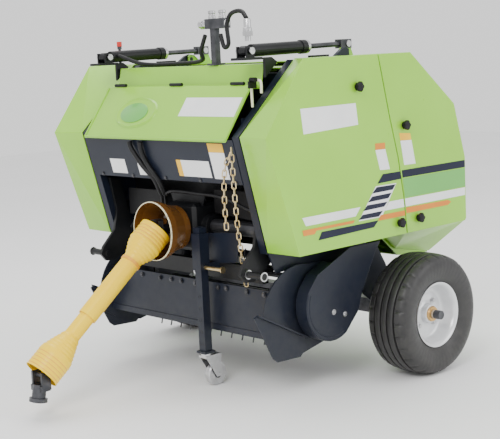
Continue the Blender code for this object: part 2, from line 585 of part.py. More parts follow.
# ------------------------------------------------------------------ cylinders and their mounts
cyl_dir = Vector((0, CYL_EYE[0] - CYL_BASE[0], CYL_EYE[1] - CYL_BASE[1]))
CYL_LEN = cyl_dir.length
cyl_dir.normalize()
for side, s in SIDES:
    base = Vector((s * CYL_X, *CYL_BASE))
    eye = Vector((s * CYL_X, *CYL_EYE))
    # mount: a block on the top of the side frame with two ears and the pin
    mount = [box((CYL_X - 0.024, -0.600, 1.076), (CYL_X + 0.036, -0.522, 1.084)),
             box((CYL_X - 0.024, -0.576, 1.080), (CYL_X - 0.018, -0.544, 1.118)),
             box((CYL_X + 0.018, -0.576, 1.080), (CYL_X + 0.024, -0.544, 1.118)),
             rod((CYL_X - 0.030, *CYL_BASE), (CYL_X + 0.030, *CYL_BASE), 0.0080, 14),
             plate([(-0.500, 1.020), (-0.446, 1.066), (-0.470, 1.082), (-0.590, 1.082), (-0.590, 1.076),
                    (-0.500, 1.076)], CYL_X + 0.014, CYL_X + 0.024)]
    node(f"cylinder_mount_{side}", sided(s, combine(mount)), "black_paint")
    body(f"cylinder_barrel_{side}", tuple(base))
    bar = combine([rod(base + cyl_dir * 0.022, base + cyl_dir * 0.262, 0.0200, 20),
                   rod(base + cyl_dir * 0.240, base + cyl_dir * 0.262, 0.0225, 20),
                   rod(base - Vector((0.015, 0, 0)), base + Vector((0.015, 0, 0)), 0.0160, 18),
                   box(base + Vector((-0.015, 0.0, -0.014)), base + Vector((0.015, 0.030, 0.014)))],
                  [rod(base - Vector((0.03, 0, 0)), base + Vector((0.03, 0, 0)), 0.0084, 14),
                   rod(base + cyl_dir * 0.060, base + cyl_dir * 0.300, 0.0100, 16)])
    node(f"cylinder_barrel_{side}", bar, "black_paint", f"cylinder_barrel_{side}")
    body(f"cylinder_rod_{side}", tuple(base), f"cylinder_barrel_{side}")
    forks = [rod(base + cyl_dir * 0.150, eye - cyl_dir * 0.028, 0.0085, 14),
             box(eye + Vector((-0.0135, -0.036, -0.015)), eye + Vector((0.0135, -0.022, 0.015))),
             box(eye + Vector((-0.0135, -0.030, -0.015)), eye + Vector((-0.0085, 0.016, 0.015))),
             box(eye + Vector((0.0085, -0.030, -0.015)), eye + Vector((0.0135, 0.016, 0.015)))]
    holes = [rod(eye - Vector((0.03, 0, 0)), eye + Vector((0.03, 0, 0)), 0.0080, 14)]
    node(f"cylinder_rod_{side}", combine(forks, holes), "dark_steel", f"cylinder_rod_{side}")

# ------------------------------------------------------------------ wheels
# section of the tyre: (radius, distance from its middle)
W2 = TYRE_W / 2
TYRE = [(0.1105, -0.064), (0.1300, -0.0750), (0.1580, -0.0815), (0.1790, -0.0790),
        (0.1960, -0.0650), (0.2020, -0.0400), (WHEEL_R, -0.0150), (WHEEL_R, 0.0150), (0.2020, 0.0400),
        (0.1960, 0.0650), (0.1790, 0.0790), (0.1580, 0.0815), (0.1300, 0.0750), (0.1105, 0.064), (0.1020, 0.0570),
        (0.1020, -0.0570)]
RIM = [(0.1017, -0.064), (0.1100, -0.0680), (0.1100, -0.0650), (0.1013, -0.0580), (0.1013, 0.0580),
       (0.1100, 0.0650), (0.1100, 0.0680), (0.1017, 0.0640), (0.0960, 0.0560), (0.0900, 0.0200), (0.0780, 0.0120),
       (0.0450, 0.0140), (0.0330, 0.0200), (0.0300, 0.0400), (0.0154, 0.0400), (0.0154, -0.0500), (0.0300, -0.0500),
       (0.0320, 0.0040), (0.0760, 0.0020), (0.0860, 0.0060), (0.0920, -0.0400)]
for side, s in SIDES:
    body(f"wheel_{side}", (s * WHEEL_X, 0, AXLE_Z))
    node(f"wheel_tyre_{side}", place(turned(TYRE, 32, closed=True), (s * WHEEL_X, 0, AXLE_Z), (s, 0, 0)),
         "tyre_rubber", f"wheel_{side}", smooth=True)
    node(f"wheel_rim_{side}", place(turned(RIM, 28, closed=True), (s * WHEEL_X, 0, AXLE_Z), (s, 0, 0)),
         "silver_rim", f"wheel_{side}", smooth=True)

# ------------------------------------------------------------------ pickup
body("pickup", (0, *PICKUP_PIVOT))
PLATE_X0, PLATE_X1 = 0.4200, 0.4250
disc = arc(-0.430, 0.250, 0.172, 200, 78, 12)
SIDE_PU = disc + [(-0.300, 0.412), (-0.185, 0.404), (-0.138, 0.335), (-0.135, 0.290), (-0.160, 0.272), (-0.250, 0.200), (-0.330, 0.150),
                  (-0.430, 0.130), (-0.540, 0.160)]
pk = []
for s in (1, -1):
    pk.append(sided(s, plate(SIDE_PU, PLATE_X0, PLATE_X1, holes=[(*REEL, 0.0120)])))
    # skid shoe outside the plate
    pk.append(sided(s, plate([(-0.640, 0.284), (-0.625, 0.292), (-0.420, 0.186), (-0.416, 0.146), (-0.446, 0.122),
                              (-0.548, 0.126), (-0.566, 0.140)], 0.4245, 0.4300)))
    pk.append(sided(s, plate([(-0.627, 0.288), (-0.625, 0.292), (-0.420, 0.186), (-0.424, 0.182)], 0.4245, 0.4420)))
pk.append(plate(ribbon([(-0.5450, 0.352), (-0.5480, 0.204), (-0.5300, 0.192)], 0.003), -0.4205, 0.4205))
pk.append(rod((-0.4205, -0.200, 0.374), (0.4205, -0.200, 0.374), 0.0150, 14))
pk.append(box((-0.4205, -0.551, 0.192), (0.4205, -0.541, 0.212)))
for s in (1, -1):
    pk.append(sided(s, rod((0.3940, *PICKUP_PIVOT), (0.4310, *PICKUP_PIVOT), 0.0120, 14)))
node("pickup_frame", combine(pk), "dark_paint", "pickup")
body("pickup_reel", (0, *REEL), "pickup")
reel = [rod((-0.4320, *REEL), (0.4320, *REEL), 0.0110, 16), rod((-0.4100, *REEL), (0.4100, *REEL), 0.0300, 16)]
TINE_X = [-0.3575 + 0.055 * k for k in range(14)]
for b in range(4):
    a = math.radians(90 * b)
    dy, dz = math.cos(a), math.sin(a)
    bar = (REEL[0] + 0.088 * dy, REEL[1] + 0.088 * dz)
    reel.append(rod((-0.3980, *bar), (0.3980, *bar), 0.0100, 8))
    for x in (-0.395, 0.395):
        reel.append(box((-0.004, -0.008, 0.022), (0.004, 0.008, 0.085)))
        reel[-1].data.transform(Matrix.Translation((x, *REEL)) @ Matrix.Rotation(a - math.pi / 2, 4, "X"))
    for x in TINE_X:
        reel.append(rod((x, *bar), (x, REEL[0] + REEL_TIP * math.cos(a - 0.12), REEL[1] + REEL_TIP * math.sin(a - 0.12)),
                        0.0028, 5))
node("pickup_reel", combine(reel), "dark_steel", "pickup_reel")
node("pickup_drive_guard", combine(
    [plate(arc(-0.345, 0.285, 0.122, 152, 300, 12) + [(-0.222, 0.240), (-0.200, 0.300), (-0.130, 0.420), (-0.100, 0.456),
            (-0.252, 0.456), (-0.410, 0.390)], 0.4380, 0.4860)],
    [plate(arc(-0.345, 0.285, 0.118, 152, 300, 12) + [(-0.227, 0.243), (-0.205, 0.303), (-0.136, 0.422), (-0.108, 0.464),
            (-0.250, 0.464), (-0.407, 0.386)], 0.4300, 0.4830)]), "dark_paint", "pickup")

# ------------------------------------------------------------------ jack
body("jack", (JACK[0], JACK[1], 0.300))
node("jack_sleeve", combine(
    [box((JACK[0] - 0.0200, JACK[1] - 0.0200, 0.3985), (JACK[0] + 0.0200, JACK[1] + 0.0200, 0.5200)),
     box((JACK[0] - 0.0300, -0.5650, 0.4000), (JACK[0] + 0.0300, -0.5283, 0.4180))],
    [box((JACK[0] - 0.0160, JACK[1] - 0.0160, 0.3500), (JACK[0] + 0.0160, JACK[1] + 0.0160, 0.5300))]), "dark_paint")
node("jack_leg", combine(
    [box((JACK[0] - 0.0150, JACK[1] - 0.0150, 0.1240), (JACK[0] + 0.0150, JACK[1] + 0.0150, 0.5400)),
     box((JACK[0] - 0.0220, JACK[1] - 0.0220, 0.1180), (JACK[0] + 0.0220, JACK[1] + 0.0220, 0.1260))]),
    "dark_paint", "jack")
CASTER_R, TRAIL = 0.0400, 0.0380
body("caster", (JACK[0], JACK[1], 0.110), "jack")
node("caster_fork", combine(
    [rod((JACK[0], JACK[1], 0.1080), (JACK[0], JACK[1], 0.1177), 0.0180, 16),
     plate([(JACK[1] - 0.016, 0.102), (JACK[1] - 0.016, 0.110), (JACK[1] + TRAIL + 0.012, 0.110),
            (JACK[1] + TRAIL + 0.012, 0.102)], JACK[0] - 0.0190, JACK[0] + 0.0190),
     plate([(JACK[1] - 0.016, 0.106), (JACK[1] + TRAIL - 0.010, 0.032), (JACK[1] + TRAIL + 0.010, 0.032),
            (JACK[1] + TRAIL + 0.012, 0.106)], JACK[0] - 0.0190, JACK[0] - 0.0160),
     plate([(JACK[1] - 0.016, 0.106), (JACK[1] + TRAIL - 0.010, 0.032), (JACK[1] + TRAIL + 0.010, 0.032),
            (JACK[1] + TRAIL + 0.012, 0.106)], JACK[0] + 0.0160, JACK[0] + 0.0190),
     rod((JACK[0] - 0.0220, JACK[1] + TRAIL, CASTER_R), (JACK[0] + 0.0220, JACK[1] + TRAIL, CASTER_R), 0.0045, 12)]),
    "bare_steel", "caster")
body("caster_wheel", (JACK[0], JACK[1] + TRAIL, CASTER_R), "caster")
node("caster_wheel", place(turned([(0.0049, -0.0120), (0.0360, -0.0120), (CASTER_R, -0.0080), (CASTER_R, 0.0080),
                                   (0.0360, 0.0120), (0.0049, 0.0120)], 28, closed=True),
                           (JACK[0], JACK[1] + TRAIL, CASTER_R), (1, 0, 0)), "bare_steel", "caster_wheel")

# ------------------------------------------------------------------ lift chain and hose
node("lift_chain", pipe(smooth_path([(0.388, -0.664, 0.815), (0.380, -0.655, 0.740), (0.352, -0.620, 0.560),
                                     (0.322, -0.572, 0.400), (0.312, -0.556, 0.352)], 5), 0.0060), "gold_zinc", "frame")

bpy.data.collections.remove(TMP)
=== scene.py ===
# Looks of a small round baler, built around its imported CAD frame.
# Sizes are metres. "A" coordinates are written from the wheel axle (y = 0 there); W() shifts them to the world.
import json
import math
import bpy
import bmesh
from mathutils import Matrix, Vector

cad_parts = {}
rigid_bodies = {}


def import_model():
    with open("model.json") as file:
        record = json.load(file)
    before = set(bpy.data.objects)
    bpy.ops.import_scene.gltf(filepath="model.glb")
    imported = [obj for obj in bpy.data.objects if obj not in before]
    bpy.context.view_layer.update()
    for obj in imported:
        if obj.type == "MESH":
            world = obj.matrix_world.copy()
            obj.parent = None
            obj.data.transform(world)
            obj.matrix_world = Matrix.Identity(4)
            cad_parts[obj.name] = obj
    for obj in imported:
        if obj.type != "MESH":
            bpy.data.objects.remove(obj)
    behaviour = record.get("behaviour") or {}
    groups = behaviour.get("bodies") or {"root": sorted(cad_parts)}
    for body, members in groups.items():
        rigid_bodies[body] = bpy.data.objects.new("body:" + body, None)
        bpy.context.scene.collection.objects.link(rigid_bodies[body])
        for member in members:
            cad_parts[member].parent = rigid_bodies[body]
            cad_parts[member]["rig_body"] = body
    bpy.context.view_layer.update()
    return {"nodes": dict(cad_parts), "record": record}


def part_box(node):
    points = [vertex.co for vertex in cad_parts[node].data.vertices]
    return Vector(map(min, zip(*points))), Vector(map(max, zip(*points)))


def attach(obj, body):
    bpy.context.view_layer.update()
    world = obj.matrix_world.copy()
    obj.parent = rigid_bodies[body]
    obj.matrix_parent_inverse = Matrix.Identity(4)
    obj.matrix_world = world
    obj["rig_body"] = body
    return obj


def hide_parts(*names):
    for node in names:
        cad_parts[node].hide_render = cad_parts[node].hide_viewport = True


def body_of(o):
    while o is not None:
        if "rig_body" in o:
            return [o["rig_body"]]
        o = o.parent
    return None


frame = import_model()
N = frame["nodes"]
lo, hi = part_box("axle_beam")
S = (lo[1] + hi[1]) / 2


def W(p):
    return Vector((p[0], p[1] + S, p[2]))


# ------------------------------------------------------------------ materials
def tree(name):
    m = bpy.data.materials.new(name)
    m.use_nodes = True
    t = m.node_tree
    return m, t, t.nodes["Principled BSDF"]


def noise(t, co, scale, detail=3.0, rough=0.5):
    n = t.nodes.new("ShaderNodeTexNoise")
    n.inputs["Scale"].default_value = scale
    n.inputs["Detail"].default_value = detail
    n.inputs["Roughness"].default_value = rough
    t.links.new(co, n.inputs["Vector"])
    return n.outputs["Fac"]


def ramp(t, fac, a, b, ca, cb):
    r = t.nodes.new("ShaderNodeValToRGB")
    r.color_ramp.elements[0].position = a
    r.color_ramp.elements[1].position = b
    r.color_ramp.elements[0].color = (*ca, 1.0)
    r.color_ramp.elements[1].color = (*cb, 1.0)
    t.links.new(fac, r.inputs["Fac"])
    return r.outputs["Color"]


def rng(t, fac, a, b):
    r = t.nodes.new("ShaderNodeMapRange")
    r.inputs["To Min"].default_value = a
    r.inputs["To Max"].default_value = b
    t.links.new(fac, r.inputs["Value"])
    return r.outputs["Result"]


def finish_mat(name, base, alt, rough=(0.28, 0.42), metal=0.0, large=7.0, fine=900.0, bump=0.02, coat=0.0, wave=0.0,
               spec=0.5, dirt=None, transmission=0.0):
    """A surface with slow colour drift, uneven gloss, a fine grain and, low down, a little dust."""
    m, t, b = tree(name)
    co = t.nodes.new("ShaderNodeTexCoord").outputs["Object"]
    slow = noise(t, co, large, 4.0)
    col = ramp(t, slow, 0.32, 0.70, base, alt)
    if dirt:
        sep = t.nodes.new("ShaderNodeSeparateXYZ")
        t.links.new(co, sep.inputs["Vector"])
        low = t.nodes.new("ShaderNodeMapRange")
        low.inputs["From Min"].default_value = 0.55
        low.inputs["From Max"].default_value = 0.02
        low.inputs["To Min"].default_value = 0.0
        low.inputs["To Max"].default_value = 0.35
        t.links.new(sep.outputs["Z"], low.inputs["Value"])
        spots = rng(t, noise(t, co, 38.0, 5.0, 0.6), -0.4, 1.2)
        mul = t.nodes.new("ShaderNodeMath")
        mul.operation = "MULTIPLY"
        mul.use_clamp = True
        t.links.new(low.outputs["Result"], mul.inputs[0])
        t.links.new(spots, mul.inputs[1])
        mix = t.nodes.new("ShaderNodeMix")
        mix.data_type = "RGBA"
        mix.inputs[7].default_value = (*dirt, 1.0)
        t.links.new(mul.outputs["Value"], mix.inputs[0])
        t.links.new(col, mix.inputs[6])
        col = mix.outputs[2]
    t.links.new(col, b.inputs["Base Color"])
    t.links.new(rng(t, noise(t, co, large * 5, 5.0, 0.6), rough[0], rough[1]), b.inputs["Roughness"])
    b.inputs["Metallic"].default_value = metal
    b.inputs["Specular IOR Level"].default_value = spec
    if coat:
        b.inputs["Coat Weight"].default_value = coat
        b.inputs["Coat Roughness"].default_value = 0.12
    if transmission:
        b.inputs["Transmission Weight"].default_value = transmission
    bp = t.nodes.new("ShaderNodeBump")
    bp.inputs["Strength"].default_value = 0.35
    bp.inputs["Distance"].default_value = bump / 100.0
    if wave:
        w = t.nodes.new("ShaderNodeTexWave")
        w.inputs["Scale"].default_value = wave
        w.inputs["Distortion"].default_value = 1.5
        t.links.new(co, w.inputs["Vector"])
        t.links.new(w.outputs["Fac"], bp.inputs["Height"])
    else:
        t.links.new(noise(t, co, fine, 2.0), bp.inputs["Height"])
    t.links.new(bp.outputs["Normal"], b.inputs["Normal"])
    return m


GREEN = finish_mat("green_enamel", (0.270, 0.590, 0.030), (0.305, 0.640, 0.045), (0.24, 0.36), large=3.0, fine=420, bump=0.02, coat=0.25, dirt=(0.36, 0.46, 0.14))
GREEN_B = finish_mat("green_enamel_cool", (0.125, 0.430, 0.075), (0.145, 0.470, 0.090), (0.24, 0.36), large=3.0, fine=420, bump=0.02, coat=0.25)
SLATE = finish_mat("slate_enamel", (0.0075, 0.0105, 0.0210), (0.0115, 0.0155, 0.0280), (0.26, 0.44), large=6.0, fine=380, bump=0.03, spec=0.30, dirt=(0.075, 0.072, 0.066))
BLACK = finish_mat("black_enamel", (0.0045, 0.0050, 0.0060), (0.0095, 0.0100, 0.0115), (0.28, 0.50), large=9.0, fine=420, bump=0.03, spec=0.28, dirt=(0.06, 0.055, 0.05))
STEEL = finish_mat("bare_steel", (0.50, 0.50, 0.51), (0.66, 0.66, 0.67), (0.22, 0.42), metal=1.0, large=30.0, fine=1500, bump=0.02)
DARK_STEEL = finish_mat("dark_steel", (0.050, 0.052, 0.058), (0.11, 0.11, 0.12), (0.30, 0.52), metal=0.85, large=25.0, fine=900, bump=0.03)
ZINC = finish_mat("gold_zinc", (0.62, 0.45, 0.20), (0.78, 0.66, 0.42), (0.24, 0.42), metal=1.0, large=60.0, fine=1500, bump=0.02)
BRASS = finish_mat("brass", (0.52, 0.30, 0.10), (0.66, 0.42, 0.16), (0.26, 0.44), metal=0.9, large=50.0, fine=1500, bump=0.02)
RIM = finish_mat("silver_paint", (0.68, 0.69, 0.71), (0.80, 0.81, 0.83), (0.26, 0.40), metal=0.45, large=12.0, fine=1200, bump=0.01, coat=0.3, dirt=(0.46, 0.44, 0.40))
RUBBER = finish_mat("tyre_rubber", (0.010, 0.010, 0.011), (0.020, 0.020, 0.021), (0.34, 0.56), large=14.0, fine=700, bump=0.05, dirt=(0.10, 0.09, 0.08))
HOSE = finish_mat("hose_rubber", (0.0050, 0.0050, 0.0058), (0.0105, 0.0105, 0.0120), (0.35, 0.55), large=40.0, bump=0.05, wave=220.0, spec=0.3)
YELLOW = finish_mat("yellow_plastic", (0.98, 0.62, 0.0020), (1.0, 0.69, 0.0050), (0.28, 0.42), large=10.0, fine=600, bump=0.03, spec=0.35)
# Darker orange-amber: the colour of the band just behind the rear guard cone, and painted shade where it rings the rib
# grooves of the guard cones
AMBER_AND_GROOVE_SHADE = finish_mat("amber_and_painted_groove_shade", (0.78, 0.36, 0.02), (0.84, 0.44, 0.03), (0.28, 0.42), large=10.0, fine=600, bump=0.03)
BROWN = finish_mat("brown_plastic", (0.140, 0.056, 0.012), (0.195, 0.080, 0.018), (0.18, 0.32), large=9.0, fine=500, bump=0.02, transmission=0.10)
CREAM = finish_mat("cream_plastic", (0.80, 0.76, 0.52), (0.88, 0.84, 0.62), (0.30, 0.45), large=20.0, fine=700, bump=0.02)
NAVY = finish_mat("navy_film", (0.0040, 0.0070, 0.0240), (0.0060, 0.0095, 0.0300), (0.25, 0.36), large=10.0, fine=500, bump=0.01, spec=0.28)
WHITE = finish_mat("white_film", (0.80, 0.81, 0.82), (0.87, 0.88, 0.88), (0.28, 0.40), large=10.0, fine=500, bump=0.01, coat=0.2)
ORANGE = finish_mat("orange_film", (0.66, 0.205, 0.012), (0.72, 0.240, 0.018), (0.28, 0.40), large=10.0, fine=500, bump=0.01, spec=0.35)
LABEL_Y = finish_mat("label_yellow", (0.84, 0.47, 0.015), (0.89, 0.54, 0.025), (0.30, 0.42), large=20.0, fine=500, bump=0.01, spec=0.35)
BLACK_P = finish_mat("black_plastic", (0.0035, 0.0035, 0.0040), (0.0070, 0.0070, 0.0080), (0.34, 0.50), large=30.0, fine=900, bump=0.04, spec=0.25)
FLOOR = finish_mat("floor", (0.92, 0.92, 0.92), (0.94, 0.94, 0.94), (0.75, 0.9), large=1.5, fine=120, bump=0.02, spec=0.2)
RED = finish_mat("red_plastic", (0.60, 0.02, 0.015), (0.70, 0.035, 0.02), (0.30, 0.42), large=30.0, fine=900, bump=0.02)


# ------------------------------------------------------------------ mesh helpers
def prism(bm, outline, a, b, along="x", tilt=None):
    """Solid of a (y, z) outline between two x; outline is in axle coordinates."""
    n = len(outline)
    rows = []
    for x in (a, b):
        row = []
        for u, v in outline:
            p = (x, u, v) if along == "x" else ((u, x, v) if along == "y" else (u, v, x))
            row.append(bm.verts.new(tilt @ Vector(p) if tilt else W(p)))
        rows.append(row)
    fs = [bm.faces.new(rows[0]), bm.faces.new(rows[1])]
    for i in range(n):
        j = (i + 1) % n
        fs.append(bm.faces.new((rows[0][i], rows[0][j], rows[1][j], rows[1][i])))
    return fs


def block(bm, p, q, turn=None, at=None):
    p, q = Vector(p), Vector(q)
    c = (p + q) / 2
    r = bmesh.ops.create_cube(bm, size=1.0)
    s = q - p
    m = Matrix.Translation(W(c)) @ (turn if turn else Matrix.Identity(4)) @ Matrix.Diagonal((abs(s.x), abs(s.y), abs(s.z), 1.0))
    bmesh.ops.transform(bm, matrix=m, verts=r["verts"])


def frame_at(a, d):
    d = Vector(d).normalized()
    q = Vector((0, 0, 1)).rotation_difference(d).to_matrix().to_4x4()
    return Matrix.Translation(W(a)) @ q


def lathe(bm, profile, at, d, seg=48, closed=True):
    """Turned shape. profile: (radius, distance along d)."""
    m = frame_at(at, d)
    rings = []
    for r, h in profile:
        rings.append([bm.verts.new(m @ Vector((r * math.cos(2 * math.pi * k / seg), r * math.sin(2 * math.pi * k / seg), h)))
                      for k in range(seg)])
    pairs = list(zip(rings[:-1], rings[1:])) + ([(rings[-1], rings[0])] if closed else [])
    for a, b in pairs:
        for k in range(seg):
            j = (k + 1) % seg
            bm.faces.new((a[k], a[j], b[j], b[k]))
    if not closed:
        bm.faces.new(rings[0][::-1])
        bm.faces.new(rings[-1])


def rod(bm, a, b, r, seg=20):
    a, b = Vector(a), Vector(b)
    lathe(bm, [(r, 0.0), (r, (b - a).length)], a, b - a, seg, closed=False)


def bolt(bm, at, d, r=0.007, h=0.0045):
    """Hexagon head on a washer."""
    at, d = Vector(at), Vector(d).normalized()
    lathe(bm, [(r * 1.45, 0.0), (r * 1.45, 0.0012)], at, d, 20, closed=False)
    lathe(bm, [(r, 0.0012), (r, h * 0.85), (r * 0.88, h)], at, d, 6, closed=False)


def smooth_points(pts, n=8):
    P = [Vector(p) for p in pts]
    P = [P[0] * 2 - P[1]] + P + [P[-1] * 2 - P[-2]]
    out = []
    for i in range(1, len(P) - 2):
        for k in range(n):
            t = k / n
            a, b, c, d = P[i - 1], P[i], P[i + 1], P[i + 2]
            out.append(0.5 * ((2 * b) + (c - a) * t + (2 * a - 5 * b + 4 * c - d) * t * t + (3 * b - a - 3 * c + d) * t ** 3))
    out.append(P[-2])
    return out


def tube(bm, pts, r, seg=12, n=8):
    pts = smooth_points(pts, n)
    rings = []
    up = Vector((0.13, 0.21, 1.0)).normalized()
    for i, p in enumerate(pts):
        d = (pts[min(i + 1, len(pts) - 1)] - pts[max(i - 1, 0)]).normalized()
        u = (up - d * up.dot(d))
        if u.length < 0.05:
            u = Vector((1, 0, 0)) - d * d.x
        u.normalize()
        up = u
        v = d.cross(u)
        rings.append([bm.verts.new(W(p) + (u * math.cos(2 * math.pi * k / seg) + v * math.sin(2 * math.pi * k / seg)) * r)
                      for k in range(seg)])
    for a, b in zip(rings[:-1], rings[1:]):
        for k in range(seg):
            j = (k + 1) % seg
            bm.faces.new((a[k], a[j], b[j], b[k]))
    bm.faces.new(rings[0][::-1])
    bm.faces.new(rings[-1])


def link(bm, c, d, n, length=0.030, width=0.017, wire=0.0021, seg=20, ws=7):
    """One chain link: long along d, flat across n."""
    c, d, n = Vector(c), Vector(d).normalized(), Vector(n)
    n = (n - d * n.dot(d)).normalized()
    w = d.cross(n)
    hl, hw = length / 2 - width / 2, width / 2 - wire
    path = []
    for k in range(seg):
        a = 2 * math.pi * k / seg
        path.append((math.cos(a) * hw + (hl if math.cos(a) > 0 else -hl), math.sin(a) * hw))
    rings = []
    for k, (x, y) in enumerate(path):
        x2, y2 = path[(k + 1) % seg]
        x0, y0 = path[k - 1]
        tdir = ((x2 - x0) * d + (y2 - y0) * w).normalized()
        side = n.cross(tdir)
        p = W(c) + d * x + w * y
        rings.append([bm.verts.new(p + (n * math.cos(2 * math.pi * j / ws) + side * math.sin(2 * math.pi * j / ws)) * wire)
                      for j in range(ws)])
    for a, b in zip(rings, rings[1:] + rings[:1]):
        for j in range(ws):
            i = (j + 1) % ws
            bm.faces.new((a[j], a[i], b[i], b[j]))


def piece(name, bm, mat, body, bevel=0.0, smooth=True, seg=2, angle=35):
    bmesh.ops.recalc_face_normals(bm, faces=bm.faces[:])
    me = bpy.data.meshes.new(name)
    bm.to_mesh(me)
    bm.free()
    ob = bpy.data.objects.new(name, me)
    bpy.context.scene.collection.objects.link(ob)
    me.materials.append(mat)
    if smooth:
        me.shade_smooth()
        me.set_sharp_from_angle(angle=math.radians(angle))
    if bevel:
        b = ob.modifiers.new("edges", "BEVEL")
        b.width = bevel
        b.segments = seg
        b.limit_method = "ANGLE"
        b.angle_limit = math.radians(30)
        b.harden_normals = True
    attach(ob, body)
    return ob


def soften(node, width, mat, seg=2):
    """The CAD node's own shape with its edges rounded, shown in its place."""
    bm = bmesh.new()
    bm.from_mesh(N[node].data)
    bmesh.ops.remove_doubles(bm, verts=bm.verts[:], dist=2e-5)
    bmesh.ops.dissolve_limit(bm, angle_limit=math.radians(0.6), verts=bm.verts[:], edges=bm.edges[:])
    me = bpy.data.meshes.new(node + "_shaped")
    bm.to_mesh(me)
    bm.free()
    ob = bpy.data.objects.new(node + "_shaped", me)
    bpy.context.scene.collection.objects.link(ob)
    me.materials.append(mat)
    me.shade_smooth()
    me.set_sharp_from_angle(angle=math.radians(35))
    b = ob.modifiers.new("edges", "BEVEL")
    b.width = width
    b.segments = seg
    b.limit_method = "ANGLE"
    b.angle_limit = math.radians(25)
    b.use_clamp_overlap = True
    b.harden_normals = True
    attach(ob, body_of(N[node])[0])
    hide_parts(node)
    return ob


def finish_node(node, mat):
    o = N[node]
    o.data.materials.clear()
    o.data.materials.append(mat)


BASE = {"green_paint": GREEN, "dark_paint": SLATE, "black_paint": BLACK, "yellow_plastic": YELLOW, "brown_plastic": BROWN,
        "bare_steel": STEEL, "dark_steel": DARK_STEEL, "gold_zinc": ZINC, "tyre_rubber": RUBBER, "silver_rim": RIM}
slot_of = {p["node"]: p["material_slot"] for p in frame["record"]["subparts"]}
for node in N:
    finish_node(node, BASE[slot_of[node]])

SIDES = (("left", 1.0), ("right", -1.0))

# ------------------------------------------------------------------ covers with rounded edges
for side, s in SIDES:
    soften(f"side_cover_{side}", 0.0024, GREEN, 3)
    soften(f"rear_cover_{side}", 0.0024, GREEN, 3)
    soften(f"hitch_arm_{side}", 0.0020, BLACK)
soften("twine_lid", 0.0016, GREEN)
soften("top_panel", 0.0012, GREEN)
soften("pickup_drive_guard", 0.0012, SLATE)
soften("gearbox", 0.0030, BLACK)

# ------------------------------------------------------------------ stripes and blank labels on the covers
XF = 0.5451


def film(name, outlines, mat, body, s, layer=0):
    bm = bmesh.new()
    a = XF + 0.0002 + 0.0004 * layer
    for o in outlines:
        prism(bm, o, s * a, s * (a + 0.0004))
    piece(name, bm, mat, body, smooth=False)


